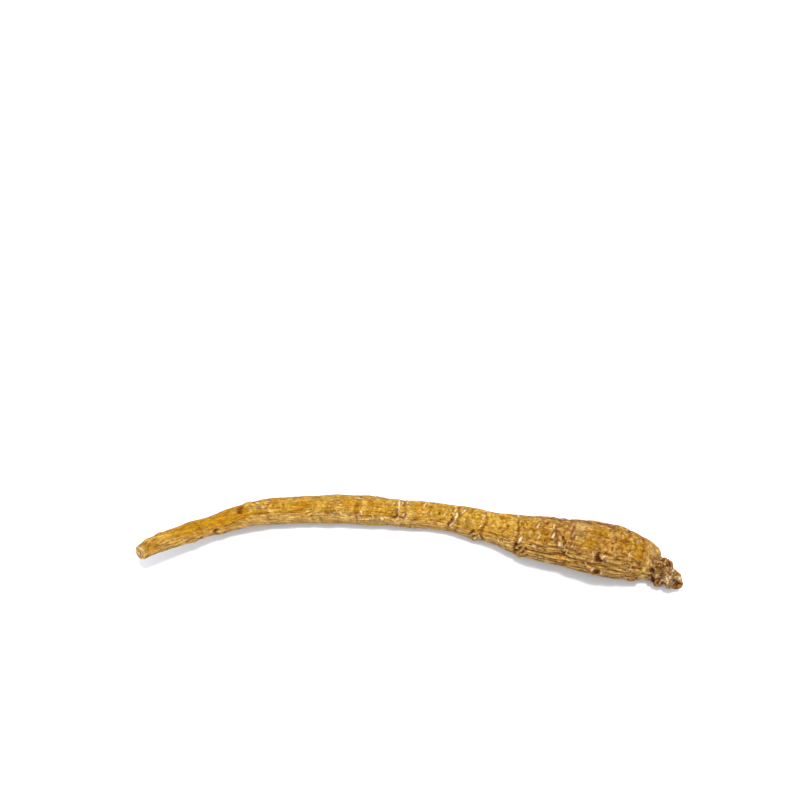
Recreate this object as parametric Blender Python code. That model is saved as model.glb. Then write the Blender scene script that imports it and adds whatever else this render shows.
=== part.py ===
"""A dried american ginseng root, lying on a flat surface. Blender 4.5, metres, +Z up.

The root is one solid. It lies along X, its cut tail at -X and its crown at +X. The origin is on the
surface, under the middle of the root's box.

A place on the skin is a station, in millimetres along the root from the cut tail, and an angle round it,
in degrees: 0 is the front (-Y), 90 the top, 180 the back and 270 the underside.
"""

import math

import bmesh
import bpy
import numpy as np

MM = 0.001

# Form of the root, in millimetres: station, along X, across Y, height of the underside, radius
FORM = (
    (0.0, -59.6, -7.15, 5.2, 1.65),
    (3.0, -56.9, -5.5, 4.9, 1.98),
    (10.0, -50.4, -2.1, 3.5, 2.20),
    (18.5, -42.8, 1.4, 2.0, 2.35),
    (25.5, -36.0, 3.7, 1.1, 2.75),
    (34.0, -28.0, 5.1, 0.4, 3.05),
    (43.0, -18.7, 5.6, 0.0, 3.25),
    (52.5, -9.3, 5.3, 0.0, 3.35),
    (62.0, 0.0, 4.6, 0.0, 3.15),
    (71.0, 9.3, 3.7, 0.0, 3.10),
    (78.5, 16.3, 2.0, 0.0, 3.45),
    (85.5, 23.1, 0.1, 0.0, 3.80),
    (93.0, 29.9, -2.4, 0.0, 4.95),
    (100.0, 36.6, -3.7, 0.0, 5.35),
    (107.0, 43.3, -5.3, 0.0, 5.90),
    (111.5, 47.9, -6.3, 0.0, 6.00),
    (117.0, 53.0, -7.4, 0.0, 5.25),
    (119.8, 55.7, -8.2, 0.2, 4.30),
    (122.2, 57.5, -9.5, 0.6, 2.90),
    (125.0, 59.6, -10.8, 0.9, 2.60),
    (127.5, 61.6, -12.0, 1.2, 1.95),
    (130.0, 63.7, -13.2, 1.6, 1.20),
)

# The skin's grid: segments round the root, and rows of points along it
AROUND = 40
CUT_ROWS = ((0.30, 0.0), (0.26, 0.22), (0.04, 0.40), (0.0, 0.88), (0.26, 1.0))
TAIL_ROWS = 66
BODY_STATION = 84.0
BODY_ROWS = 68
TIP_ROWS = 6
TIP_ROUND = 2.0

# The cut at the tail leans towards the front and top
CUT_LEAN = math.tan(math.radians(22.0))
CUT_LEAN_ANGLE = 60.0

# The root's own weight presses the skin flat where it lies
PRESS = 0.22

# Lengthwise folds: how many go round, their drift per millimetre, their depth on the tail and on the body
FOLDS = ((10, 0.004, 0.10, 0.42), (7, -0.007, 0.14, 0.22), (4, 0.011, 0.12, 0.10))
FOLDS_FADE = 8.0
FOLDS_SIDE = 10.0
FOLDS_WANDER = 0.30
FOLDS_WANDER_LENGTH = 4.0

# Grooves of the growth rings: station, depth, half width, middle angle, half span in degrees
RINGS = (
    (13.5, 0.08, 0.5, 40, 110),
    (30.5, 0.10, 0.5, 120, 120),
    (41.0, 0.10, 0.5, 300, 130),
    (51.6, 0.08, 0.6, 90, 100),
    (62.4, 0.16, 0.6, 60, 150),
    (68.3, 0.06, 0.5, 100, 110),
    (74.9, 0.12, 0.5, 70, 100),
    (77.6, 0.06, 0.5, 130, 120),
    (81.4, 0.14, 0.5, 40, 120),
    (90.0, 0.28, 0.45, 35, 100),
    (94.8, 0.05, 0.5, 95, 80),
    (98.4, 0.08, 0.5, 100, 75),
    (101.4, 0.18, 0.6, 60, 80),
    (106.4, 0.08, 0.6, 140, 90),
    (110.8, 0.20, 0.7, 230, 90),
    (114.2, 0.16, 0.6, 170, 100),
    (117.9, 0.14, 0.6, 60, 120),
    (122.3, 0.50, 0.6, 0, 150),
    (126.4, 0.40, 0.5, 30, 100),
)
RING_LIP = 0.20
RING_WAVER = 0.35

# Knobs (+) and hollows (-) of trimmed rootlets and buds: station, angle, half length, half width, height
KNOBS = (
    (2.4, 150, 0.8, 0.8, 0.35),
    (5.2, 150, 0.9, 0.7, 0.30),
    (12.0, 330, 1.0, 0.8, 0.25),
    (17.2, 18, 0.8, 0.6, -0.35),
    (18.7, 330, 1.1, 0.8, 0.50),
    (23.9, 112, 0.9, 1.0, -0.40),
    (26.0, 122, 1.3, 1.6, 0.55),
    (33.0, 250, 1.0, 1.0, 0.40),
    (37.5, 60, 1.6, 1.4, -0.20),
    (48.5, 30, 1.6, 1.2, 0.22),
    (53.0, 95, 1.2, 1.8, 0.25),
    (57.0, 200, 1.0, 1.0, 0.45),
    (63.6, 50, 1.0, 1.0, 0.30),
    (72.5, 25, 1.0, 0.9, -0.25),
    (79.6, 330, 0.9, 1.0, 0.55),
    (84.0, 215, 1.1, 1.2, 0.50),
    (87.4, 100, 2.0, 3.0, 0.20),
    (90.9, 332, 1.1, 1.3, 0.65),
    (96.6, 40, 1.2, 1.6, 0.35),
    (100.3, 32, 1.3, 1.0, -0.35),
    (103.8, 190, 1.3, 1.4, 0.55),
    (106.8, 148, 1.2, 1.8, 0.30),
    (108.6, 10, 0.7, 0.8, -1.20),
    (108.6, 9, 1.3, 1.5, 0.85),
    (108.8, 41, 0.8, 0.8, -0.40),
    (109.6, 38, 0.6, 0.7, 0.30),
    (112.4, 240, 1.2, 1.2, 0.50),
    (116.9, 333, 0.9, 0.9, 0.60),
    (119.6, 100, 1.2, 3.5, 0.25),
    (123.6, 345, 1.2, 1.4, 0.80),
    (124.6, 215, 1.5, 1.6, 0.80),
    (124.6, 118, 1.5, 1.7, 0.80),
    (126.9, 125, 0.9, 2.0, -0.35),
    (127.8, 60, 1.2, 1.2, 0.35),
    (128.6, 15, 1.0, 1.1, 0.30),
    (129.6, 285, 1.1, 1.1, 0.25),
)

# Slow, seeded unevenness of the whole root
SEED = 7
SWELLS = 12
SWELL_HEIGHT = 0.09

SKIN_COLOUR = (0.50, 0.27, 0.075, 1.0)
SKIN_ROUGHNESS = 0.62
SHARP_ANGLE = math.radians(50.0)


def clear_scene():
    """Removes every object of the scene."""
    for obj in list(bpy.data.objects):
        bpy.data.objects.remove(obj, do_unlink=True)


def column(number):
    """One column of FORM, as an array."""
    return np.array([row[number] for row in FORM])


def curve(values, at):
    """A smooth curve through the values at FORM's stations, read at the stations `at`."""
    stations = column(0)
    slopes = np.gradient(values, stations)
    i = np.clip(np.searchsorted(stations, at) - 1, 0, len(stations) - 2)
    width = stations[i + 1] - stations[i]
    t = (at - stations[i]) / width
    start = (1 + 2 * t) * (1 - t) ** 2 * values[i] + t * (1 - t) ** 2 * width * slopes[i]
    end = t**2 * (3 - 2 * t) * values[i + 1] + t**2 * (t - 1) * width * slopes[i + 1]
    return start + end


def rows_along():
    """Each row's station and its share of the radius: cut face, tail, body, then the crown's round tip."""
    length = FORM[-1][0]
    tail = np.linspace(0.7, BODY_STATION, TAIL_ROWS)
    body = np.linspace(BODY_STATION, length - TIP_ROUND, BODY_ROWS)[1:]
    turn = np.linspace(0.0, math.pi / 2, TIP_ROWS + 1)[1:]
    cut = np.array(CUT_ROWS)
    tip = length - TIP_ROUND + TIP_ROUND * np.sin(turn)
    station = np.concatenate([cut[:, 0], tail, body, tip])
    share = np.concatenate([cut[:, 1], np.ones(len(tail) + len(body)), np.cos(turn)])
    return station, share


def turned(angle, middle):
    """The angle from `middle`, in degrees from -180 to 180."""
    return (angle - middle + 180.0) % 360.0 - 180.0


def folds(station, angle, body):
    """Rounded crests with narrow valleys between them, running along the root."""
    height = np.zeros_like(station)
    for count, drift, on_tail, on_body in FOLDS:
        wander = FOLDS_WANDER * np.sin(station / FOLDS_WANDER_LENGTH + count)
        phase = np.radians(angle) * count / 2 + drift * station * count + wander
        depth = on_tail + (on_body - on_tail) * body
        height += depth * (np.abs(np.sin(phase)) - 2 / math.pi)
    side = 0.65 + 0.35 * np.cos(2 * np.radians(angle - FOLDS_SIDE))
    ends = np.clip(station / FOLDS_FADE, 0.4, 1.0)
    return height * side * ends


def rings(station, angle):
    """Wavering grooves across the root, each with a low lip on either side."""
    height = np.zeros_like(station)
    for number, (place, depth, width, middle, span) in enumerate(RINGS):
        waver = RING_WAVER * np.sin(np.radians(angle) * (2 + number % 3) + number)
        away = (station - place - waver) / width
        reach = np.exp(-((turned(angle, middle) / span) ** 4))
        groove = np.exp(-(away**2))
        lips = np.exp(-((np.abs(away) - 1.9) ** 2))
        height += reach * depth * (RING_LIP * lips - groove)
    return height


def knobs(station, angle, radius):
    """Bumps and hollows, each a bell of its own length and width."""
    height = np.zeros_like(station)
    for place, middle, long, wide, tall in KNOBS:
        along = (station - place) / long
        round_ = np.radians(turned(angle, middle)) * radius / wide
        height += tall * np.exp(-(along**2) - round_**2)
    return height


def swells(station, angle):
    """Slow waves with seeded lengths and turns."""
    draw = np.random.default_rng(SEED)
    height = np.zeros_like(station)
    for _ in range(SWELLS):
        length = draw.uniform(5.0, 26.0)
        count = draw.integers(1, 5)
        phases = draw.uniform(0.0, 2 * math.pi, 2)
        height += np.sin(station / length * 2 * math.pi + phases[0]) * np.sin(
            np.radians(angle) * count + phases[1]
        )
    return height * SWELL_HEIGHT / math.sqrt(SWELLS) * 2


def skin(station, share, angle):
    """The skin's points in millimetres, for arrays of stations, shares of the radius and angles."""
    radius = curve(column(4), station)
    x, y = curve(column(1), station), curve(column(2), station)
    z = curve(column(3), station) + radius
    fine = np.linspace(0.0, FORM[-1][0], 600)
    along = np.stack(
        [
            np.gradient(curve(column(1), fine), fine),
            np.gradient(curve(column(2), fine), fine),
            np.gradient(curve(column(3), fine), fine) * 0.8,
        ]
    )
    along = np.stack([np.interp(station, fine, part) for part in along], axis=-1)
    along /= np.linalg.norm(along, axis=-1, keepdims=True)
    front = np.cross(along, (0.0, 0.0, 1.0))
    front /= np.linalg.norm(front, axis=-1, keepdims=True)
    up = np.cross(front, along)

    body = np.clip((station - BODY_STATION) / 12.0, 0.0, 1.0)
    full = radius + folds(station, angle, body) + rings(station, angle)
    full += knobs(station, angle, radius) + swells(station, angle)
    out = np.maximum(full, 0.5) * share
    turn = np.radians(angle)
    lean = CUT_LEAN * np.cos(np.radians(turned(angle, CUT_LEAN_ANGLE))) * np.exp(-station / 1.2)
    points = np.stack([x, y, z], axis=-1)
    points += (out * np.cos(turn))[..., None] * front
    points += (out * np.sin(turn))[..., None] * up
    points += (out * lean)[..., None] * along
    points[..., 2] = np.maximum(points[..., 2] - PRESS, 0.0)
    return points


def root_mesh():
    """A sphere whose rows are carried along the root and pushed out to its skin."""
    station, share = rows_along()
    sphere = bmesh.new()
    bmesh.ops.create_uvsphere(
        sphere, u_segments=AROUND, v_segments=len(station) - 1, radius=1.0
    )
    unit = np.array([vertex.co for vertex in sphere.verts])
    polar = np.arccos(np.clip(-unit[:, 2], -1.0, 1.0))
    row = np.rint(polar / math.pi * (len(station) - 1)).astype(int)
    angle = np.degrees(np.arctan2(-unit[:, 1], unit[:, 0])) % 360.0
    points = skin(station[row], share[row], angle)
    low, high = points.min(axis=0), points.max(axis=0)
    points[:, :2] -= (low[:2] + high[:2]) / 2
    for vertex, point in zip(sphere.verts, points * MM):
        vertex.co = point
    bmesh.ops.triangulate(sphere, faces=sphere.faces)
    mesh = bpy.data.meshes.new("ginseng_root")
    sphere.to_mesh(mesh)
    sphere.free()
    mesh.shade_smooth()
    mesh.set_sharp_from_angle(angle=SHARP_ANGLE)
    return mesh


def skin_material():
    """Dry, golden brown skin."""
    material = bpy.data.materials.new("dried_skin")
    material.use_nodes = True
    shader = material.node_tree.nodes["Principled BSDF"]
    shader.inputs["Base Color"].default_value = SKIN_COLOUR
    shader.inputs["Roughness"].default_value = SKIN_ROUGHNESS
    shader.inputs["Metallic"].default_value = 0.0
    return material


def main():
    """Clears the scene and makes the root."""
    clear_scene()
    collection = bpy.data.collections.new("american_ginseng_root")
    bpy.context.scene.collection.children.link(collection)
    root = bpy.data.objects.new("ginseng_root", root_mesh())
    root.data.materials.append(skin_material())
    collection.objects.link(root)


main()
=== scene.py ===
"""A dried american ginseng root on a pale surface: its finished skin, the light and the view.

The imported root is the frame. Its one node is replaced by a finer skin of the same form: the same middle
line, rings, folds and knobs, with the wrinkles, scars, pits and colours that its coarse facets can't hold.

A place on the skin is a station, in millimetres along the root from the cut tail, and an angle round it,
in degrees: 0 is the front, 90 the top, 180 the back and 270 the underside.
"""

import logging
import math
from dataclasses import dataclass, field
from enum import Enum

import bpy
import numpy as np
from mathutils import Matrix, Vector


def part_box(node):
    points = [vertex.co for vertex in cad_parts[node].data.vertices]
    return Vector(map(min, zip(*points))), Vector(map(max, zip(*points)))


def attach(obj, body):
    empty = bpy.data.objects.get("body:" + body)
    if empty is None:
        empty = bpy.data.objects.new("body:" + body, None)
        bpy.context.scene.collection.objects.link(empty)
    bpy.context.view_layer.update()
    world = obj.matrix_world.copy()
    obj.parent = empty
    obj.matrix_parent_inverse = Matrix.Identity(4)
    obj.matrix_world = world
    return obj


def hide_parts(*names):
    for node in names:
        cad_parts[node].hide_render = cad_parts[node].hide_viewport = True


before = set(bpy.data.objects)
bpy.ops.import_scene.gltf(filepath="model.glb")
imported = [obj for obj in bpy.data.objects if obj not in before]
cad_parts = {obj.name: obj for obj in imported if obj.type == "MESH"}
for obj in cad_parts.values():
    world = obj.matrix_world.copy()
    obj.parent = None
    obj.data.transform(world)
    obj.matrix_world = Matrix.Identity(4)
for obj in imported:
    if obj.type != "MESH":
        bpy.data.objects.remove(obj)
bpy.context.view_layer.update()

MM = 0.001
log = logging.getLogger("ginseng")

# Form of the root, in millimetres: station, along X, across Y, height of the underside, radius
FORM = (
    (0.0, -59.6, -7.15, 5.2, 1.65),
    (3.0, -56.9, -5.5, 4.9, 1.98),
    (10.0, -50.4, -2.1, 3.5, 2.20),
    (18.5, -42.8, 1.4, 2.0, 2.35),
    (25.5, -36.0, 3.7, 1.1, 2.75),
    (34.0, -28.0, 5.1, 0.4, 3.05),
    (43.0, -18.7, 5.6, 0.0, 3.25),
    (52.5, -9.3, 5.3, 0.0, 3.35),
    (62.0, 0.0, 4.6, 0.0, 3.15),
    (71.0, 9.3, 3.7, 0.0, 3.10),
    (78.5, 16.3, 2.0, 0.0, 3.45),
    (85.5, 23.1, 0.1, 0.0, 3.80),
    (93.0, 29.9, -2.4, 0.0, 4.95),
    (100.0, 36.6, -3.7, 0.0, 5.35),
    (107.0, 43.3, -5.3, 0.0, 5.90),
    (111.5, 47.9, -6.3, 0.0, 6.00),
    (117.0, 53.0, -7.4, 0.0, 5.25),
    (119.8, 55.7, -8.2, 0.2, 4.30),
    (122.2, 57.5, -9.5, 0.6, 2.90),
    (125.0, 59.6, -10.8, 0.9, 2.60),
    (127.5, 61.6, -12.0, 1.2, 1.95),
    (130.0, 63.7, -13.2, 1.6, 1.20),
)

# Lengthwise folds: how many go round, their drift per millimetre, their depth on the tail and on the body
FOLDS = ((10, 0.004, 0.10, 0.42), (7, -0.007, 0.14, 0.22), (4, 0.011, 0.12, 0.10))

# Grooves of the growth rings: station, depth, half width, middle angle, half span in degrees
RINGS = (
    (13.5, 0.08, 0.5, 40, 110),
    (30.5, 0.10, 0.5, 120, 120),
    (41.0, 0.10, 0.5, 300, 130),
    (51.6, 0.08, 0.6, 90, 100),
    (62.4, 0.16, 0.6, 60, 150),
    (68.3, 0.06, 0.5, 100, 110),
    (74.9, 0.12, 0.5, 70, 100),
    (77.6, 0.06, 0.5, 130, 120),
    (81.4, 0.14, 0.5, 40, 120),
    (90.0, 0.28, 0.45, 15, 65),
    (94.8, 0.05, 0.5, 95, 80),
    (98.4, 0.08, 0.5, 100, 75),
    (101.4, 0.18, 0.6, 60, 80),
    (106.4, 0.08, 0.6, 140, 90),
    (110.8, 0.20, 0.7, 230, 90),
    (114.2, 0.16, 0.6, 170, 100),
    (117.9, 0.06, 0.6, 60, 120),
    (122.3, 0.50, 0.6, 0, 150),
    (126.4, 0.40, 0.5, 30, 100),
)

# Knobs (+) and hollows (-) of trimmed rootlets and buds: station, angle, half length, half width, height
KNOBS = (
    (2.4, 150, 0.8, 0.8, 0.35),
    (5.2, 150, 0.9, 0.7, 0.30),
    (12.0, 330, 1.0, 0.8, 0.25),
    (17.2, 18, 0.8, 0.6, -0.35),
    (18.7, 330, 1.1, 0.8, 0.50),
    (23.9, 112, 0.9, 1.0, -0.40),
    (26.0, 122, 1.3, 1.6, 0.55),
    (33.0, 250, 1.0, 1.0, 0.40),
    (37.5, 60, 1.6, 1.4, -0.20),
    (48.5, 30, 1.6, 1.2, 0.22),
    (53.0, 95, 1.2, 1.8, 0.25),
    (57.0, 200, 1.0, 1.0, 0.45),
    (63.6, 50, 1.0, 1.0, 0.30),
    (72.5, 25, 1.0, 0.9, -0.25),
    (79.6, 330, 0.9, 1.0, 0.55),
    (84.0, 215, 1.1, 1.2, 0.50),
    (87.4, 100, 2.0, 3.0, 0.20),
    (90.9, 332, 1.1, 1.3, 0.65),
    (96.6, 40, 1.2, 1.6, 0.35),
    (100.3, 32, 1.3, 1.0, -0.35),
    (103.8, 190, 1.3, 1.4, 0.55),
    (106.8, 148, 1.2, 1.8, 0.30),
    (108.6, 10, 0.7, 0.8, -1.20),
    (108.6, 9, 1.3, 1.5, 0.85),
    (108.8, 41, 0.8, 0.8, -0.40),
    (109.6, 38, 0.6, 0.7, 0.30),
    (112.4, 240, 1.2, 1.2, 0.50),
    (116.9, 333, 0.9, 0.9, 0.60),
    (119.6, 100, 1.2, 3.5, 0.25),
    (123.6, 345, 1.2, 1.4, 0.80),
    (124.6, 215, 1.5, 1.6, 0.80),
    (124.6, 118, 1.5, 1.7, 0.80),
    (126.9, 125, 0.9, 2.0, -0.35),
    (127.8, 60, 1.2, 1.2, 0.35),
    (128.6, 15, 1.0, 1.1, 0.30),
    (129.6, 285, 1.1, 1.1, 0.25),
)


class Tint(Enum):
    """What a mark does to the skin's colour, as the name of the mask that holds it."""

    PALE = "pale"
    DARK = "dark"
    AMBER = "amber"
    BUFF = "buff"


# Marks of each tint: station, angle, half length along, half width round, slant, height, strength
MARKS = {
    Tint.PALE: (
        (18.7, 343, 0.60, 0.30, 0.0, 0.05, 0.8),
        (26.7, 128, 0.50, 0.25, 0.0, 0.08, 0.8),
        (28.1, 116, 0.45, 0.22, 0.0, 0.08, 0.8),
        (29.1, 93, 0.50, 0.22, 0.0, 0.06, 0.6),
        (30.7, 129, 0.45, 0.25, 0.0, 0.08, 0.8),
        (45.3, 92, 0.50, 0.15, 0.5, 0.06, 0.5),
        (46.0, 50, 0.40, 0.22, 0.4, 0.08, 0.6),
        (46.5, 96, 0.50, 0.15, -0.4, 0.06, 0.4),
        (47.4, 82, 0.40, 0.16, 0.5, 0.06, 0.5),
        (47.5, 51, 0.30, 0.22, -0.4, 0.08, 0.5),
        (48.7, 40, 0.40, 0.20, 0.3, 0.08, 0.5),
        (51.8, 118, 0.90, 0.25, 0.0, 0.06, 0.7),
        (57.4, 33, 0.35, 0.35, 0.0, 0.10, 0.8),
        (59.9, 104, 0.35, 0.16, 0.6, 0.08, 0.7),
        (61.1, 40, 0.16, 0.50, 0.2, 0.08, 0.6),
        (61.2, 105, 0.16, 1.00, 0.1, 0.14, 1.0),
        (61.2, 78, 0.15, 0.60, 0.1, 0.08, 0.6),
        (61.9, 112, 0.16, 0.40, -0.3, 0.10, 0.7),
        (62.3, 58, 0.22, 0.40, 0.4, 0.12, 1.0),
        (63.0, 120, 0.16, 0.45, -0.4, 0.10, 0.8),
        (63.2, 44, 0.22, 0.40, -0.5, 0.08, 0.5),
        (63.9, 112, 0.18, 0.35, -0.4, 0.08, 0.7),
        (66.7, 76, 0.18, 0.28, 0.0, 0.08, 0.6),
        (67.0, 120, 0.14, 1.10, 0.25, 0.12, 0.9),
        (73.7, 38, 0.20, 0.60, 0.6, 0.12, 0.9),
        (73.9, 103, 0.18, 0.50, 0.5, 0.12, 0.9),
        (74.4, 62, 0.17, 0.80, 0.2, 0.14, 0.9),
        (74.6, 84, 0.20, 0.60, -0.1, 0.15, 1.0),
        (76.1, 108, 0.17, 0.95, 0.45, 0.16, 1.0),
        (79.9, 352, 0.20, 0.60, 0.6, 0.10, 0.9),
        (80.6, 60, 0.15, 0.60, 0.3, 0.10, 0.9),
        (80.9, 100, 0.13, 1.40, 0.3, 0.08, 0.5),
        (80.9, 5, 0.20, 0.50, -0.5, 0.10, 0.7),
        (90.6, 50, 0.24, 0.80, 0.2, 0.20, 0.9),
        (93.7, 100, 0.24, 0.70, 0.35, 0.14, 0.9),
        (93.9, 40, 0.30, 0.60, -0.7, 0.10, 0.5),
        (94.3, 66, 0.15, 0.70, 0.3, 0.10, 0.6),
        (97.4, 102, 0.18, 0.60, 0.1, 0.14, 1.0),
        (97.5, 79, 0.26, 0.60, 0.25, 0.16, 1.0),
        (99.2, 59, 0.34, 0.50, -0.5, 0.10, 0.8),
        (101.3, 106, 0.20, 0.90, 0.1, 0.05, 0.4),
        (107.6, 14, 0.18, 0.50, 0.3, 0.16, 0.7),
        (109.3, 48, 0.20, 0.60, 0.35, 0.18, 1.0),
        (109.5, 10, 0.18, 0.50, -0.3, 0.16, 0.6),
        (123.8, 22, 0.20, 0.55, 0.3, 0.18, 0.7),
        (124.0, 118, 0.20, 0.25, 0.0, 0.10, 0.7),
        (125.2, 22, 0.22, 0.60, 0.4, 0.20, 0.8),
        (126.5, 118, 0.18, 0.80, 0.3, 0.28, 0.8),
        (126.5, 44, 0.18, 0.80, -0.4, 0.30, 0.9),
        (126.9, 76, 0.18, 1.00, 0.1, 0.34, 0.9),
        (128.2, 92, 0.50, 0.18, 0.3, 0.28, 0.7),
        (129.0, 100, 0.35, 0.30, 0.0, 0.20, 0.7),
    ),
    Tint.DARK: (
        (1.8, 80, 0.70, 0.55, 0.3, -0.03, 0.45),
        (1.9, 110, 0.50, 0.35, 0.4, -0.08, 0.70),
        (3.7, 102, 0.32, 0.28, 0.0, -0.08, 0.75),
        (5.0, 70, 0.50, 0.30, 0.0, -0.03, 0.30),
        (5.6, 118, 0.40, 0.25, 0.4, -0.06, 0.50),
        (10.3, 8, 0.35, 0.25, 0.0, -0.12, 0.8),
        (17.3, 22, 0.55, 0.50, 0.0, -0.30, 1.0),
        (23.6, 88, 0.40, 0.60, -0.4, -0.10, 0.55),
        (24.0, 106, 0.90, 1.10, 0.3, -0.14, 0.60),
        (25.2, 88, 0.70, 0.40, 0.0, -0.08, 0.45),
        (26.4, 98, 0.50, 0.30, 0.0, -0.04, 0.30),
        (31.8, 93, 0.30, 0.30, 0.0, -0.12, 0.8),
        (34.2, 90, 0.28, 0.28, 0.0, -0.12, 0.7),
        (51.0, 78, 0.40, 1.00, 0.2, -0.06, 0.35),
        (59.8, 62, 0.30, 0.30, 0.0, -0.12, 0.8),
        (60.4, 44, 0.26, 0.40, 0.3, -0.12, 0.8),
        (60.9, 55, 0.28, 0.70, 0.0, -0.18, 0.9),
        (70.3, 78, 0.28, 0.35, 0.0, -0.10, 0.8),
        (73.0, 38, 0.42, 0.60, 0.0, -0.20, 1.0),
        (73.6, 62, 0.36, 0.80, 0.0, -0.22, 1.0),
        (78.8, 22, 0.32, 1.00, 0.5, -0.28, 1.0),
        (79.4, 345, 0.30, 0.40, 0.0, -0.20, 0.9),
        (79.9, 12, 0.28, 0.90, 0.6, -0.28, 1.0),
        (81.2, 18, 0.26, 0.80, -0.4, -0.20, 1.0),
        (88.8, 100, 0.20, 0.80, -0.2, -0.15, 0.8),
        (89.3, 82, 0.24, 0.80, -0.2, -0.18, 0.9),
        (89.8, 68, 0.18, 0.60, -0.2, -0.15, 0.7),
        (90.2, 31, 0.32, 1.00, 0.4, -0.35, 1.0),
        (90.7, 14, 0.36, 1.10, 0.5, -0.40, 1.0),
        (91.7, 14, 0.26, 0.80, 0.5, -0.30, 1.0),
        (92.3, 28, 0.30, 0.55, -0.4, -0.25, 1.0),
        (92.6, 8, 0.24, 0.50, 0.5, -0.20, 0.8),
        (99.8, 75, 0.30, 0.45, 0.0, -0.22, 1.0),
        (100.1, 48, 0.20, 0.50, 0.5, -0.20, 0.8),
        (100.3, 62, 0.32, 0.55, 0.3, -0.25, 1.0),
        (100.6, 110, 0.16, 1.10, 0.1, -0.10, 0.5),
        (100.7, 36, 0.28, 0.70, 0.2, -0.30, 1.0),
        (101.0, 55, 0.24, 0.55, -0.4, -0.25, 1.0),
        (101.9, 108, 0.16, 1.00, 0.1, -0.08, 0.4),
        (102.8, 88, 0.35, 0.20, 0.0, -0.12, 0.8),
        (103.7, 86, 0.30, 0.18, 0.0, -0.12, 0.7),
        (108.0, 98, 0.50, 0.18, 0.3, -0.14, 0.8),
        (108.1, 50, 0.42, 0.80, 0.2, -0.40, 1.0),
        (108.5, 38, 0.60, 0.50, 0.0, -0.40, 1.0),
        (108.6, 10, 0.75, 0.80, 0.0, -0.10, 1.0),
        (109.5, 92, 0.40, 0.20, -0.5, -0.15, 0.9),
        (110.8, 81, 0.35, 0.25, 0.4, -0.15, 0.8),
        (110.8, 69, 0.22, 0.40, 0.3, -0.15, 0.8),
        (111.7, 70, 0.25, 0.30, 0.0, -0.12, 0.7),
        (118.1, 358, 0.30, 0.40, 0.0, -0.15, 0.9),
        (118.7, 91, 0.35, 0.30, 0.0, -0.14, 0.8),
        (121.0, 18, 0.30, 0.35, 0.0, -0.20, 0.9),
        (121.6, 62, 0.25, 0.25, 0.0, -0.12, 0.8),
        (122.6, 30, 0.32, 0.90, 0.4, -0.35, 1.0),
        (122.9, 12, 0.50, 0.80, 0.0, -0.40, 1.0),
        (123.7, 352, 0.28, 0.80, -0.3, -0.35, 1.0),
        (123.7, 126, 0.30, 0.45, 0.0, -0.15, 0.8),
        (124.5, 42, 0.50, 1.30, 0.3, -0.60, 1.0),
        (124.7, 70, 0.26, 0.80, 0.2, -0.35, 1.0),
        (124.7, 7, 0.30, 0.80, 0.3, -0.35, 1.0),
        (124.8, 87, 0.20, 0.20, 0.0, -0.12, 0.9),
        (125.2, 96, 0.18, 0.20, 0.0, -0.12, 0.8),
        (125.2, 74, 0.20, 0.20, 0.0, -0.12, 0.9),
        (125.4, 14, 0.26, 0.70, 0.4, -0.30, 1.0),
        (125.6, 6, 0.28, 0.40, 0.0, -0.25, 0.9),
        (125.9, 64, 0.50, 0.16, 0.0, -0.12, 0.7),
        (126.0, 99, 0.20, 0.20, 0.0, -0.12, 0.8),
        (126.2, 84, 0.18, 0.22, 0.0, -0.12, 0.8),
        (127.6, 40, 0.60, 0.60, 0.3, -0.40, 1.0),
        (128.5, 60, 0.60, 0.50, -0.4, -0.40, 1.0),
    ),
    Tint.AMBER: (
        (2.8, 72, 1.6, 1.2, 0.0, 0.0, 0.8),
        (11.5, 95, 4.0, 2.0, 0.0, 0.0, 0.6),
        (15.5, 96, 6.5, 2.8, 0.0, 0.0, 1.0),
        (21.0, 82, 4.5, 2.4, 0.0, 0.0, 1.0),
        (24.0, 80, 1.4, 1.2, 0.0, 0.0, 0.8),
        (32.4, 106, 1.2, 0.8, 0.0, -0.06, 0.8),
        (38.5, 90, 1.8, 1.2, 0.0, -0.08, 0.8),
        (54.5, 104, 1.2, 0.8, 0.0, -0.06, 0.6),
        (66.0, 100, 2.0, 1.4, 0.0, 0.0, 0.5),
        (85.4, 114, 1.4, 0.8, 0.0, -0.06, 0.8),
        (95.5, 70, 1.6, 1.4, 0.0, 0.0, 0.6),
        (106.1, 73, 1.8, 1.3, 0.0, -0.10, 1.0),
        (107.8, 107, 1.8, 1.2, 0.0, -0.12, 1.0),
        (111.0, 95, 6.0, 4.0, 0.0, 0.0, 0.15),
        (113.6, 92, 1.5, 1.2, 0.0, -0.10, 1.0),
        (117.2, 97, 1.4, 1.6, 0.0, -0.14, 1.0),
        (117.6, 66, 1.4, 1.4, 0.0, -0.08, 0.7),
        (123.9, 100, 0.80, 0.80, 0.0, 0.0, 0.7),
    ),
    Tint.BUFF: (
        (3.5, 60, 3.5, 3.5, 0.0, 0.0, 0.40),
        (47.5, 42, 2.2, 1.1, 0.0, 0.06, 0.9),
        (63.5, 46, 1.4, 0.9, 0.0, 0.05, 0.8),
        (103.4, 108, 1.0, 1.2, 0.0, 0.06, 0.6),
        (104.0, 110, 2.0, 3.0, 0.0, 0.0, 0.5),
        (110.6, 100, 0.9, 1.6, 0.0, 0.05, 0.5),
        (120.7, 110, 1.1, 5.0, 0.0, 0.10, 0.65),
    ),
}

Array = np.ndarray
Colour = tuple[float, float, float]
Socket = bpy.types.NodeSocket

# Of these masks, dark holds real dark marks and also painted shade in grooves and creases, pale holds scars
# and also painted highlight on the crown's ridges, and three hold painted shade in hollows, painted highlight
# on crests and painted shade on the underside.
MASKS = (
    "pale", "dark", "amber", "buff", "crown", "cut", "hollow_shade", "crest_highlight", "wrinkled", "weathered", "under",
)
CUT_ROWS = 12


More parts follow.
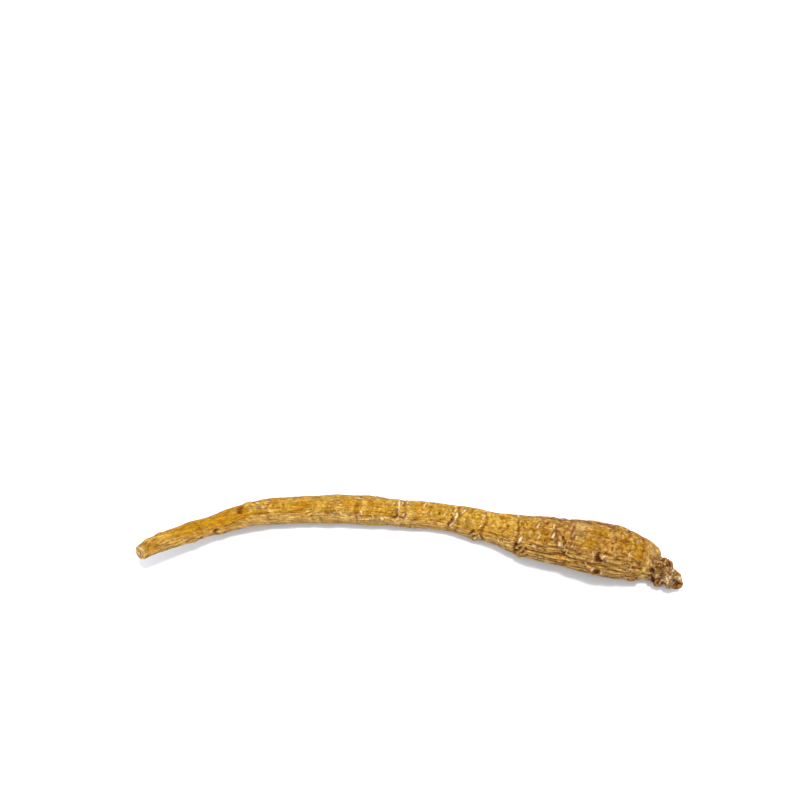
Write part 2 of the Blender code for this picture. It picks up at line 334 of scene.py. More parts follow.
def linear(red: int, green: int, blue: int) -> Colour:
    """Turns a colour of 0 to 255 into the linear values that shaders take.

    Args:
        red: The red part.
        green: The green part.
        blue: The blue part.

    Returns:
        The colour's three linear values, from 0 to 1.
    """
    parts = [part / 255 for part in (red, green, blue)]
    return tuple(p / 12.92 if p <= 0.04045 else ((p + 0.055) / 1.055) ** 2.4 for p in parts)


def eased(value: Array) -> Array:
    """3t² - 2t³ for values held between 0 and 1."""
    t = np.clip(value, 0.0, 1.0)
    return t * t * (3 - 2 * t)


def rise(value: Array, start: float, length: float) -> Array:
    """0 up to a start, 1 after a length, and eased between."""
    return eased((value - start) / length)


def bell(away: Array) -> Array:
    """e to the minus away²: 1 in the middle and nearly 0 past 2."""
    return np.exp(-(away**2))


def turned(angle: Array, middle: float) -> Array:
    """The angle from a middle one, in degrees from -180 to 180."""
    return (angle - middle + 180.0) % 360.0 - 180.0


def column(number: int) -> Array:
    """One column of FORM."""
    return np.array([row[number] for row in FORM])


def curve(values: Array, at: Array) -> Array:
    """A smooth curve through values at FORM's stations: a cubic between each two, with matching slopes.

    Args:
        values: The value at each of FORM's stations.
        at: The stations to read it at.

    Returns:
        The curve's values there.
    """
    stations = column(0)
    slopes = np.gradient(values, stations)
    i = np.clip(np.searchsorted(stations, at) - 1, 0, len(stations) - 2)
    width = stations[i + 1] - stations[i]
    t = (at - stations[i]) / width
    start = (1 + 2 * t) * (1 - t) ** 2 * values[i] + t * (1 - t) ** 2 * width * slopes[i]
    end = t**2 * (3 - 2 * t) * values[i + 1] + t**2 * (t - 1) * width * slopes[i + 1]
    return start + end


def smoothed(values: Array, rounds: int) -> Array:
    """Averages each point with its neighbours, along the root and round it, some times over.

    Args:
        values: An array of rows along the root and columns round it.
        rounds: How often it is averaged.

    Returns:
        The smoother array.
    """
    for _ in range(rounds):
        across = np.roll(values, 1, 1) + np.roll(values, -1, 1)
        values = values / 2 + across / 4
        padded = np.pad(values, ((1, 1), (0, 0)), mode="edge")
        values = values / 2 + (padded[:-2] + padded[2:]) / 4
    return values


class Grain:
    """Seeded patterns in space: smooth noise, and cells round scattered spots. They repeat after SIDE."""

    SIDE = 32
    STRENGTH = 1.6
    LAYER_SHIFT = 7

    def __init__(self, seed: int) -> None:
        """Draws a direction and a spot for each unit cube.

        Args:
            seed: The number that the draws start from.
        """
        draw = np.random.default_rng(seed)
        ways = draw.normal(size=(self.SIDE,) * 3 + (3,))
        self.ways = ways / np.linalg.norm(ways, axis=-1, keepdims=True)
        self.spots = draw.random((self.SIDE,) * 3 + (3,))

    def at(self, x: Array, y: Array, z: Array) -> Array:
        """Smooth noise: how far a place lies along each corner's direction, weighed by eased nearness.

        Args:
            x: Places along the first side, in units.
            y: Places along the second side.
            z: Places along the third side.

        Returns:
            Values from about -1 to 1, with an average of 0.
        """
        place = np.stack(np.broadcast_arrays(x, y, z), axis=-1)
        low = np.floor(place).astype(int)
        found = np.zeros(place.shape[:-1])
        for corner in np.ndindex(2, 2, 2):
            away = place - low - corner
            share = np.prod(eased(1 - np.abs(away)), axis=-1)
            index = tuple(np.moveaxis((low + corner) % self.SIDE, -1, 0))
            found += share * np.sum(self.ways[index] * away, axis=-1)
        return found * self.STRENGTH

    def layered(self, x: Array, y: Array, z: Array, layers: int = 3) -> Array:
        """Adds layers of the noise, each twice as fine and half as strong.

        Args:
            x: Places along the first side.
            y: Places along the second side.
            z: Places along the third side.
            layers: How many layers are added.

        Returns:
            Values from about -1 to 1.
        """
        total = np.zeros(np.broadcast_shapes(np.shape(x), np.shape(y), np.shape(z)))
        for layer in range(layers):
            fine = 2**layer
            total += self.at(x * fine + layer * self.LAYER_SHIFT, y * fine, z * fine) / fine
        return total / (2 - 2 / 2**layers)

    def cells(self, x: Array, y: Array, z: Array) -> tuple[Array, Array]:
        """Finds the two scattered spots nearest to each place.

        Args:
            x: Places along the first side, in units.
            y: Places along the second side.
            z: Places along the third side.

        Returns:
            The distances to the nearest and to the second nearest spot.
        """
        place = np.stack(np.broadcast_arrays(x, y, z), axis=-1)
        low = np.floor(place).astype(int)
        nearest = np.full(place.shape[:-1], 9.0)
        second = nearest.copy()
        for corner in np.ndindex(3, 3, 3):
            cell = low + corner - 1
            spot = cell + self.spots[tuple(np.moveaxis(cell % self.SIDE, -1, 0))]
            distance = np.linalg.norm(place - spot, axis=-1)
            second = np.minimum(second, np.maximum(nearest, distance))
            nearest = np.minimum(nearest, distance)
        return nearest, second


@dataclass
class Skin:
    """The root's skin as arrays of one value for each point: rows along the root, columns round it."""

    station: Array
    share: Array
    angle: Array
    radius: Array
    height: Array = field(init=False)
    masks: dict[str, Array] = field(init=False)

    def __post_init__(self) -> None:
        """Starts with a smooth, unmarked skin."""
        self.height = np.zeros_like(self.station)
        self.masks = {name: np.zeros_like(self.station) for name in MASKS}

    @property
    def side(self) -> Array:
        """How far a point lies from the middle line towards the front, in millimetres."""
        return self.radius * np.cos(np.radians(self.angle))

    @property
    def top(self) -> Array:
        """How far a point lies above the middle line, in millimetres."""
        return self.radius * np.sin(np.radians(self.angle))

    def steps(self, along: float, across: float) -> tuple[Array, Array, Array]:
        """Each point's place on the straightened root, in steps of one length along and one across."""
        return self.station / along, self.side / across, self.top / across

    def rows(self, low: float, high: float) -> slice:
        """Finds the rows between two stations, past the rows of the cut face.

        Args:
            low: The first station.
            high: The last one.

        Returns:
            The rows, as a slice.
        """
        line = self.station[:, 0].copy()
        line[: CUT_ROWS - 1] = 0.0
        return slice(int(np.searchsorted(line, low)), int(np.searchsorted(line, high)))

    def add(self, name: str, value: Array, rows: slice = slice(None)) -> None:
        """Adds to one mask, on all rows or some, and holds it between 0 and 1."""
        mask = self.masks[name][rows]
        np.clip(mask + value, 0.0, 1.0, out=mask)


@dataclass(frozen=True)
class CoarseRelief:
    """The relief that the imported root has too: folds, rings, knobs and slow swells."""

    fold_fade: float = 8.0
    fold_least: float = 0.4
    fold_side: float = 10.0
    fold_even: float = 0.65
    fold_wander: float = 0.30
    fold_wander_length: float = 4.0
    body_start: float = 84.0
    body_blend: float = 12.0
    ring_lip: float = 0.20
    ring_lip_away: float = 1.9
    ring_waver: float = 0.35
    shade_seed: int = 12
    shade_narrow: float = 2.6
    shade_most: float = 0.7
    shade_full_depth: float = 0.42
    swell_seed: int = 7
    swells: int = 12
    swell_height: float = 0.09
    swell_lengths: tuple[float, float] = (5.0, 26.0)
    swell_counts: tuple[int, int] = (1, 5)

    def body_share(self, station: Array) -> Array:
        """0 on the tail, 1 on the body, and a straight line between."""
        return np.clip((station - self.body_start) / self.body_blend, 0.0, 1.0)

    def folds(self, skin: Skin) -> Array:
        """|sin| of the angle times half the count: round crests with narrow valleys between them.

        Args:
            skin: The skin.

        Returns:
            The folds' height at each point, which is lower near the cut end and on top and below.
        """
        body = self.body_share(skin.station)
        height = np.zeros_like(skin.station)
        for count, drift, on_tail, on_body in FOLDS:
            wander = self.fold_wander * np.sin(skin.station / self.fold_wander_length + count)
            phase = np.radians(skin.angle) * count / 2 + drift * skin.station * count + wander
            depth = on_tail + (on_body - on_tail) * body
            height += depth * (np.abs(np.sin(phase)) - 2 / math.pi)
        side = self.fold_even + (1 - self.fold_even) * np.cos(2 * np.radians(skin.angle - self.fold_side))
        return height * side * np.clip(skin.station / self.fold_fade, self.fold_least, 1.0)

    def rings(self, skin: Skin) -> Array:
        """Bell-shaped grooves across the root that waver with the angle, with a lip on either side.

        Args:
            skin: The skin, whose dark mask gets a broken line of painted shade in each groove.

        Returns:
            The rings' height at each point.
        """
        height = np.zeros_like(skin.station)
        broken = eased(1.6 * Grain(self.shade_seed).layered(*skin.steps(4.0, 1.2), 2) + 0.4)
        for number, (place, depth, width, middle, span) in enumerate(RINGS):
            waver = self.ring_waver * np.sin(np.radians(skin.angle) * (2 + number % 3) + number)
            away = (skin.station - place - waver) / width
            reach = np.exp(-((turned(skin.angle, middle) / span) ** 4))
            lips = bell(np.abs(away) - self.ring_lip_away)
            height += reach * depth * (self.ring_lip * lips - bell(away))
            # Painted shade: a broken dark line in each groove, darker the deeper the groove.
            shade = min(self.shade_most, (depth / self.shade_full_depth) ** 1.5) * broken
            skin.add("dark", reach * bell(away * self.shade_narrow) * shade)
        return height

    def knobs(self, skin: Skin) -> Array:
        """One bell for each knob, of its own length and width.

        Args:
            skin: The skin.

        Returns:
            The knobs' height at each point.
        """
        height = np.zeros_like(skin.station)
        for place, middle, long, wide, tall in KNOBS:
            rows = skin.rows(place - 4 * long, place + 4 * long)
            along = (skin.station[rows] - place) / long
            across = np.radians(turned(skin.angle[rows], middle)) * skin.radius[rows] / wide
            height[rows] += tall * np.exp(-(along**2) - across**2)
        return height

    def slow_swells(self, skin: Skin) -> Array:
        """Products of two sines, along and round, with seeded lengths and turns.

        Args:
            skin: The skin.

        Returns:
            The swells' height at each point.
        """
        draw = np.random.default_rng(self.swell_seed)
        height = np.zeros_like(skin.station)
        for _ in range(self.swells):
            length = draw.uniform(*self.swell_lengths)
            count = draw.integers(*self.swell_counts)
            phases = draw.uniform(0.0, 2 * math.pi, 2)
            along = np.sin(skin.station / length * 2 * math.pi + phases[0])
            height += along * np.sin(np.radians(skin.angle) * count + phases[1])
        return height * self.swell_height / math.sqrt(self.swells) * 2

    def apply(self, skin: Skin) -> None:
        """Adds all four to the skin's height."""
        skin.height += self.folds(skin) + self.rings(skin) + self.knobs(skin)
        skin.height += self.slow_swells(skin)


@dataclass(frozen=True)
class Creases:
    """A net of creases between long or round cells."""

    seed: int
    along: float
    across: float
    depth: float
    narrow: float = 0.22
    darkness: float = 0.6
    bend: float = 0.5
    bend_shifts: tuple[int, int, int] = (0, 9, 18)
    puff: float = 0.6
    puff_middle: float = 0.8

    def apply(self, skin: Skin, weight: Array) -> None:
        """Cuts a bell-shaped valley wherever the two nearest spots are equally far, and darkens it with
        painted shade.

        Args:
            skin: The skin that gets the creases.
            weight: How strong they are at each point, from 0 to 1.
        """
        grain = Grain(self.seed)
        station, side, top = skin.steps(6.0, 3.0)
        bends = [self.bend * grain.layered(station + shift, side, top, 2) for shift in self.bend_shifts]
        station, side, top = skin.steps(self.along, self.across)
        nearest, second = grain.cells(station + bends[2], side + bends[0], top + bends[1])
        crease = bell((second - nearest) / self.narrow) * weight
        uneven = 0.75 + 0.5 * grain.layered(*skin.steps(3.0, 1.5), 2)
        puffed = self.depth * weight * (self.puff_middle - nearest) * self.puff
        skin.height += puffed - self.depth * crease * uneven
        # Painted shade in the valleys of the creases.
        skin.add("dark", crease * self.darkness * uneven)


@dataclass(frozen=True)
class Puckers:
    """Winding wrinkles with full skin between them, where a noise passes through zero."""

    seed: int
    along: float
    across: float
    depth: float
    darkness: float = 0.5
    full: float = 0.32
    sharpness: float = 0.6
    gap: float = 2.5
    gap_shift: float = 9.0

    def apply(self, skin: Skin, weight: Array) -> None:
        """Lifts the skin by a root of the noise's size, which is sharp at zero and round elsewhere.

        Args:
            skin: The skin that gets the wrinkles.
            weight: How strong they are at each point, from 0 to 1.
        """
        grain = Grain(self.seed)
        noise = grain.layered(*skin.steps(self.along, self.across), 2)
        puffed = np.minimum(np.abs(noise) / self.full, 1.0) ** self.sharpness
        station, side, top = skin.steps(self.gap, self.gap)
        gaps = eased(grain.at(station, side, top + self.gap_shift) * 1.6 + 0.5)
        skin.height += self.depth * weight * (puffed - 0.6) * (0.4 + 0.6 * gaps)
        # Painted shade in the wrinkles, where the skin is not puffed.
        skin.add("dark", self.darkness * weight * gaps * (1 - eased(puffed / 0.55)))


@dataclass(frozen=True)
class Marks:
    """The scars, pits and patches of MARKS, and seeded ones like them all round the root."""

    seed: int = 23
    flecks: int = 400
    pits: int = 200
    patches: int = 30
    fleck_rings: tuple[int, int] = (3, 16)
    ragged: float = 0.34
    ragged_waves: float = 1.6
    rim_away: float = 1.8
    rim_share: float = 0.4

    def one(self, skin: Skin, tint: Tint, mark: tuple, ragged: tuple[Array, Array]) -> None:
        """Raises or sinks one mark as a flat-topped bell, and tints it. A pale one gets a sunken rim,
        darkened with painted shade.

        Args:
            skin: The skin that gets it.
            tint: What it does to the colour.
            mark: Its station, angle, half length, half width, slant, height and strength.
            ragged: How far each point of the skin is pushed aside, along and round, for uneven edges.
        """
        place, middle, long, wide, slant, tall, strength = mark
        reach = 3 * long + abs(slant) * wide * 2 + 0.4
        rows = skin.rows(place - reach, place + reach)
        around = np.radians(turned(skin.angle[rows], middle)) * skin.radius[rows] + ragged[1][rows]
        along = (skin.station[rows] - place - slant * around + ragged[0][rows]) / long
        away = along**2 + (around / wide) ** 2
        flat_bell = np.exp(-(away**1.5))
        skin.height[rows] += tall * flat_bell
        skin.add(tint.value, strength * flat_bell, rows)
        if tint is Tint.PALE:
            # Painted shade in the sunken rim round a pale mark.
            rim = np.exp(-((np.sqrt(away) - self.rim_away) ** 2) * 4.0)
            skin.height[rows] -= self.rim_share * abs(tall) * rim
            skin.add("dark", self.rim_share * strength * rim, rows)

    def scattered(self) -> list[tuple[Tint, tuple]]:
        """Draws the seeded marks: flecks and pits mostly on the middle and body, patches not on top.

        Returns:
            The tint of each mark, and its values as in MARKS.
        """
        draw = np.random.default_rng(self.seed)
        rings = [row[0] for row in RINGS[slice(*self.fleck_rings)]]
        found = []
        for _ in range(self.flecks):
            ring = draw.choice(rings) + draw.normal(0.0, 0.8)
            place = draw.choice([draw.uniform(40, 121), draw.uniform(84, 119), ring])
            narrow = draw.uniform(0.10, 0.20)
            wide = draw.uniform(0.2, 0.9)
            slant = draw.uniform(-0.5, 0.5)
            tall = draw.uniform(0.02, 0.09)
            strength = draw.uniform(0.1, 0.9) ** 2
            found.append((Tint.PALE, (place, draw.uniform(0, 360), narrow, wide, slant, tall, strength)))
        for _ in range(self.pits):
            place = draw.choice([draw.uniform(4, 121), draw.uniform(84, 119)])
            size = draw.uniform(0.12, 0.26)
            wide = size * draw.uniform(0.8, 2.2)
            slant = draw.uniform(-1, 1)
            deep = -draw.uniform(0.05, 0.16)
            strength = draw.uniform(0.3, 0.9)
            found.append((Tint.DARK, (place, draw.uniform(0, 360), size, wide, slant, deep, strength)))
        for _ in range(self.patches):
            place = draw.uniform(8, 119)
            angle = draw.uniform(140, 400)
            size = draw.uniform(0.8, 2.6)
            strength = draw.uniform(0.3, 0.8)
            found.append((Tint.AMBER, (place, angle, size, size * 0.7, 0.0, -0.04, strength)))
        return found

    def apply(self, skin: Skin) -> None:
        """Puts every mark on the skin.

        Args:
            skin: The skin that gets them.
        """
        grain = Grain(self.seed)
        place = [self.ragged_waves * part for part in (skin.station, skin.side, skin.top)]
        ragged = self.ragged * grain.layered(*place), self.ragged * grain.layered(*place[::-1])
        placed = [(tint, mark) for tint, marks in MARKS.items() for mark in marks]
        for tint, mark in (*self.scattered(), *placed):
            self.one(skin, tint, mark, ragged)


@dataclass(frozen=True)
class Seam:
    """The crease that runs along the front, with drier, buff skin below it."""

    start: float = 22.0
    end: float = 86.0
    start_angle: float = 60.0
    end_angle: float = 30.0
    wander: float = 22.0
    wander_length: float = 5.0
    depth: float = 0.10
    darkness: float = 0.3
    half_width: float = 4.0
    fade_share: float = 0.1
    dryness: float = 0.9
    dry_edge: float = 6.0
    dry_blend: float = 14.0
    dry_reach: float = 110.0
    dry_fade: float = 30.0
    dry_start: float = 2.0
    dry_start_blend: float = 8.0
    seed: int = 31

    def apply(self, skin: Skin) -> None:
        """Cuts a wandering bell-shaped line along the root and dries the skin below it.

        Args:
            skin: The skin that gets it.
        """
        grain = Grain(self.seed)
        share = (skin.station - self.start) / (self.end - self.start)
        middle = self.start_angle + (self.end_angle - self.start_angle) * share
        wander = grain.layered(skin.station / self.wander_length, 3.3, 5.1) * self.wander
        away = turned(skin.angle, 0) - middle - wander
        ends = eased(share / self.fade_share) * eased((1 - share) / self.fade_share)
        broken = eased(grain.at(*skin.steps(2.2, 2.0)) * 1.6 + 0.5)
        line = bell(away / self.half_width) * ends * broken
        skin.height -= self.depth * line
        # Painted shade along the crease.
        skin.add("dark", self.darkness * line)
        below = eased((self.dry_edge - away) / self.dry_blend)
        below = below * rise(away, -self.dry_reach, self.dry_fade)
        dry = below * rise(skin.station, self.dry_start, self.dry_start_blend)
        skin.add("buff", self.dryness * dry)


@dataclass(frozen=True)
class Crown:
    """The knobbly crown: lumps with clefts where two of them meet, and a net of thin ridges, with painted
    shade in the clefts and pits and a painted highlight on the ridges.
    """

    start: float = 120.9
    blend: float = 1.2
    lump: float = 1.9
    lump_height: float = 0.52
    lump_middle: float = 0.42
    lump_fall: float = 1.1
    cleft_depth: float = 0.35
    cleft_narrow: float = 0.14
    cleft_darkness: float = 0.55
    ridge_size: float = 1.9
    ridge_height: float = 0.42
    ridge_reach: float = 0.16
    ridge_base: float = 0.4
    ridge_paleness: float = 0.20
    pit_start: float = 0.22
    pit_blend: float = 0.25
    pit_depth: float = 0.5
    pit_darkness: float = 0.6
    seed: int = 5

    def apply(self, skin: Skin) -> None:
        """Lifts each point by its nearest spot, and draws ridges where a noise passes through zero.

        Args:
            skin: The skin that gets them.
        """
        here = rise(skin.station, self.start, self.blend)
        skin.add("crown", here)
        place = (skin.station, skin.side * skin.share, skin.top * skin.share)
        grain = Grain(self.seed)
        nearest, second = grain.cells(*[part / self.lump for part in place])
        cleft = bell((second - nearest) / self.cleft_narrow)
        lump = self.lump_middle - self.lump_fall * nearest**2 - self.cleft_depth * cleft
        skin.height += here * self.lump_height * lump
        # Painted shade in the clefts.
        skin.add("dark", here * self.cleft_darkness * cleft)
        net = np.abs(grain.layered(*[part / self.ridge_size for part in place], 3))
        ridge = bell(net / self.ridge_reach)
        pit = rise(net, self.pit_start, self.pit_blend)
        skin.height += here * self.ridge_height * (ridge - self.ridge_base - self.pit_depth * pit)
        # Painted highlight on the ridges, and painted shade in the pits between them.
        skin.add("pale", here * self.ridge_paleness * ridge**3)
        skin.add("dark", here * self.pit_darkness * pit)


@dataclass(frozen=True)
class LongWrinkles:
    """Where long wrinkles run: all round the tail's thin end, and below and behind on the rest."""

    start: float = 1.0
    start_blend: float = 4.0
    end: float = 118.5
    end_blend: float = 2.5
    thick_start: float = 40.0
    thick_blend: float = 45.0
    thin_share: float = 0.62
    thick_loss: float = 0.52
    front: tuple[float, float, float] = (335.0, 100.0, 40.0)
    back: tuple[float, float, float] = (205.0, 75.0, 30.0)
    back_share: float = 0.8

    def near(self, skin: Skin, side: tuple[float, float, float]) -> Array:
        """Finds how near each point is to one side of the root.

        Args:
            skin: The skin.
            side: The side's middle angle, how far it reaches and over how much of that it fades.

        Returns:
            1 near the middle and 0 past the reach.
        """
        middle, reach, fade = side
        return eased((reach - np.abs(turned(skin.angle, middle))) / fade)

    def share(self, skin: Skin) -> Array:
        """Works out how wrinkled each point is.

        Args:
            skin: The skin.

        Returns:
            The wrinkles' share there, from 0 to 1.
        """
        upper = self.thin_share - self.thick_loss * rise(skin.station, self.thick_start, self.thick_blend)
        spread = upper + self.near(skin, self.front) + self.back_share * self.near(skin, self.back)
        ends = rise(skin.station, self.start, self.start_blend)
        ends = ends * (1 - rise(skin.station, self.end, self.end_blend))
        return np.clip(spread, 0, 1) * ends


@dataclass
class GinsengRoot:
    """The dried root: a grid of rows along it, carried by its middle line."""

    around: int = 180
    crowding: float = 17.0
    crowded_angle: float = 60.0
    tail_rows: int = 316
    body_start: float = 84.0
    body_rows: int = 200
    tip_rows: int = 22
    tip_round: float = 2.0
    hollow_depth: float = 0.30
    hollow_share: float = 0.26
    rim_share: float = 0.86
    rim_round: float = 0.26
    rim_gap: float = 0.25
    cut_lean: float = math.tan(math.radians(22.0))
    cut_lean_angle: float = 60.0
    cut_lean_fade: float = 1.2
    line_steps: int = 600
    tilt_share: float = 0.8
    press: float = 0.22
    least_radius: float = 0.5
    fine_seed: int = 44
    fine_waves: tuple[float, float] = (1.1, 1.5)
    fine_height: float = 0.08
    fine_crown_height: float = 0.12
    relief_rounds: int = 12
    relief_full: float = 0.09
    cut_edge: float = 0.30
    cut_blend: float = 0.25

    def rows_along(self) -> tuple[Array, Array]:
        """Works out each row's station and its share of the radius.

        The cut face's rows go out from its middle, which is sunk by a bell and rounded at the rim. The
        tail's and the body's are evenly spaced, and the crown's last ones follow a quarter circle.

        Returns:
            The stations and the shares.
        """
        length = FORM[-1][0]
        face = np.linspace(0.0, 1.0, CUT_ROWS)
        rim = np.clip((face - self.rim_share) / (1 - self.rim_share), 0, 1)
        sunk = self.hollow_depth * bell(face / self.hollow_share)
        tail = np.linspace(self.rim_round + self.rim_gap, self.body_start, self.tail_rows)
        body = np.linspace(self.body_start, length - self.tip_round, self.body_rows)[1:]
        turn = np.linspace(0.0, math.pi / 2, self.tip_rows + 1)[1:]
        tip = length - self.tip_round * (1 - np.sin(turn))
        station = np.concatenate([sunk + self.rim_round * rim**2, tail, body, tip])
        share = np.concatenate([face, np.ones(len(tail) + len(body)), np.cos(turn)])
        return station, share

    def blank(self) -> Skin:
        """Lays out the grid, whose columns stand closer together on the upper front.

        Returns:
            The unmarked skin.
        """
        station, share = self.rows_along()
        turn = np.arange(self.around) * 360.0 / self.around
        angle = turn - self.crowding * np.sin(np.radians(turn - self.crowded_angle))
        stations, angles = np.meshgrid(station, angle, indexing="ij")
        shares = np.repeat(share[:, None], self.around, axis=1)
        return Skin(stations, shares, angles, curve(column(4), stations))

    def sculpt(self) -> Skin:
        """Puts the relief on the skin, coarse to fine, and fills its masks.

        Returns:
            The skin with its height and masks.
        """
        skin = self.blank()
        coarse = CoarseRelief()
        coarse.apply(skin)
        body = coarse.body_share(skin.station)
        wrinkled = LongWrinkles().share(skin)
        Creases(41, 9.0, 0.85, 0.22, narrow=0.17).apply(skin, wrinkled * (0.30 + 0.70 * body))
        Creases(42, 4.5, 0.50, 0.12, darkness=0.45).apply(skin, wrinkled * (0.20 + 0.80 * body))
        puckered = (1 - 0.8 * wrinkled) * rise(skin.station, 20, 80) * (1 - rise(skin.station, 120, 2))
        Puckers(45, 2.0, 2.6, 0.17, darkness=0.50).apply(skin, puckered)
        Puckers(46, 0.9, 1.1, 0.10, darkness=0.35).apply(skin, puckered)
        Seam().apply(skin)
        Marks().apply(skin)
        Crown().apply(skin)
        along, across = self.fine_waves
        place = (skin.station * along, skin.side * across, skin.top * across)
        fine = Grain(self.fine_seed).layered(*place)
        skin.height += fine * (self.fine_height + self.fine_crown_height * skin.masks["crown"])
        self.fill_broad_masks(skin, wrinkled)
        self.read_relief(skin)
        return skin

    def fill_broad_masks(self, skin: Skin, wrinkled: Array) -> None:
        """Fills the masks of broad tones: long wrinkles, buff skin, weathered skin and the painted shade of
        the underside.

        Args:
            skin: The skin that gets them.
            wrinkled: Where the long wrinkles run.
        """
        skin.masks["wrinkled"] = wrinkled
        skin.add("buff", 0.6 * wrinkled * rise(skin.station, 80, 20))
        skin.masks["weathered"] = rise(skin.station, 84, 18) * rise(turned(skin.angle, 80), -55, 50)
        skin.add("weathered", 0.6 * (1 - rise(skin.station, 2, 4)))
        # Painted shade: full on the underside, fading up the front and the back, none on top.
        around = turned(skin.angle, 90)
        skin.masks["under"] = 1 - rise(around, -105, 45) * (1 - rise(around, 80, 45))

    def read_relief(self, skin: Skin) -> None:
        """Fills the masks of painted shade in the hollows and painted highlight on the crests, from how far
        the height is from its own average.

        Args:
            skin: The skin, with its height, which gets the mask of the cut face too.
        """
        mean = smoothed(skin.height, self.relief_rounds)
        skin.masks["hollow_shade"] = np.clip((mean - skin.height) / self.relief_full, 0, 1)
        skin.masks["crest_highlight"] = np.clip((skin.height - mean) / self.relief_full, 0, 1)
        skin.masks["cut"] = 1 - rise(skin.station, self.cut_edge, self.cut_blend)
        skin.masks["cut"][CUT_ROWS:] = 0.0

    def points(self, skin: Skin) -> Array:
        """Carries the skin along the middle line: across it by the front and up directions.

        Args:
            skin: The skin, with its height.

        Returns:
            One point for each place on the grid, in millimetres.
        """
        fine = np.linspace(0.0, FORM[-1][0], self.line_steps)
        slopes = [np.gradient(curve(column(n), fine), fine) for n in (1, 2, 3)]
        slopes[2] = slopes[2] * self.tilt_share
        along = np.stack([np.interp(skin.station, fine, part) for part in slopes], axis=-1)
        along /= np.linalg.norm(along, axis=-1, keepdims=True)
        front = np.cross(along, (0.0, 0.0, 1.0))
        front /= np.linalg.norm(front, axis=-1, keepdims=True)
        up = np.cross(front, along)
        out = np.maximum(skin.radius + skin.height, self.least_radius) * skin.share
        turn = np.radians(skin.angle)
        lean = self.cut_lean * np.cos(np.radians(turned(skin.angle, self.cut_lean_angle)))
        lean = lean * np.exp(-skin.station / self.cut_lean_fade)
        line = [curve(column(n), skin.station) for n in (1, 2, 3)]
        line[2] = line[2] + skin.radius
        points = np.stack(line, axis=-1)
        points += (out * np.cos(turn))[..., None] * front
        points += (out * np.sin(turn))[..., None] * up
        points += (out * lean)[..., None] * along
        points[..., 2] = np.maximum(points[..., 2] - self.press, 0.0)
        return points

    def placed(self, points: Array) -> Array:
        """Moves the points so that the middle of their box is over the middle of the frame's.

        Args:
            points: One point for each place on the grid, in millimetres.

        Returns:
            The points in the frame, in metres, in the same order.
        """
        low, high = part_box("ginseng_root")
        middle = (np.array(low) + np.array(high)) / 2
        flat = points.reshape(-1, 3) * MM
        shift = (flat.min(axis=0) + flat.max(axis=0)) / 2 - middle
        shift[2] = 0.0
        return (flat - shift).reshape(points.shape)

    def packed(self, values: Array) -> Array:
        """Lists the grid's values for the mesh, where each end row is one vertex.

        Args:
            values: The values, rows by columns by parts.

        Returns:
            One row of parts for each vertex.
        """
        between = values[1:-1].reshape(-1, values.shape[-1])
        return np.concatenate([values[0, :1], between, values[-1, :1]])

    def mesh(self, skin: Skin) -> bpy.types.Mesh:
        """Joins the grid into one closed mesh: quads between rows, and a fan at each end.

        Args:
            skin: The sculpted skin.

        Returns:
            The mesh, with the masks and the straightened coordinates as attributes.
        """
        rows, around = skin.station.shape
        grid = np.arange((rows - 2) * around).reshape(rows - 2, around) + 1
        last = (rows - 2) * around + 1
        after = np.roll(grid, -1, axis=1)
        quads = np.stack([grid[:-1], after[:-1], after[1:], grid[1:]], axis=-1).reshape(-1, 4)
        start = np.stack([np.zeros(around, int), after[0], grid[0]], axis=-1)
        end = np.stack([np.full(around, last), grid[-1], after[-1]], axis=-1)
        faces = quads.tolist() + start.tolist() + end.tolist()
        mesh = bpy.data.meshes.new("ginseng_skin")
        mesh.from_pydata(self.packed(self.placed(self.points(skin))).tolist(), [], faces)
        straight = np.stack([skin.station, skin.side * skin.share, skin.top * skin.share], axis=-1)
        self.attribute(mesh, "straight", "FLOAT_VECTOR", "vector", straight)
        for name, mask in skin.masks.items():
            self.attribute(mesh, name, "FLOAT", "value", mask[..., None])
        self.attribute(mesh, "share", "FLOAT", "value", skin.share[..., None])
        mesh.shade_smooth()
        mesh.validate()
        return mesh

    def attribute(self, mesh: bpy.types.Mesh, name: str, kind: str, key: str, values: Array) -> None:
        """Stores one value or vector for each vertex of the grid.

        Args:
            mesh: The mesh made from the grid.
            name: The attribute's name.
            kind: Its Blender type.
            key: The name under which Blender takes its values.
            values: The values, rows by columns by parts.
        """
        layer = mesh.attributes.new(name, kind, "POINT")
        layer.data.foreach_set(key, self.packed(values).astype(np.float32).ravel())

    def build(self) -> bpy.types.Object:
        """Makes the root's object and gives it its place in the frame.

        Returns:
            The finished piece.
        """
        root = bpy.data.objects.new("ginseng_skin", self.mesh(self.sculpt()))
        bpy.context.scene.collection.objects.link(root)
        root.data.materials.append(DriedSkin().material())
        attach(root, "root")
        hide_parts("ginseng_root")
        log.info("%s: %d faces", root.name, len(root.data.polygons))
        return root


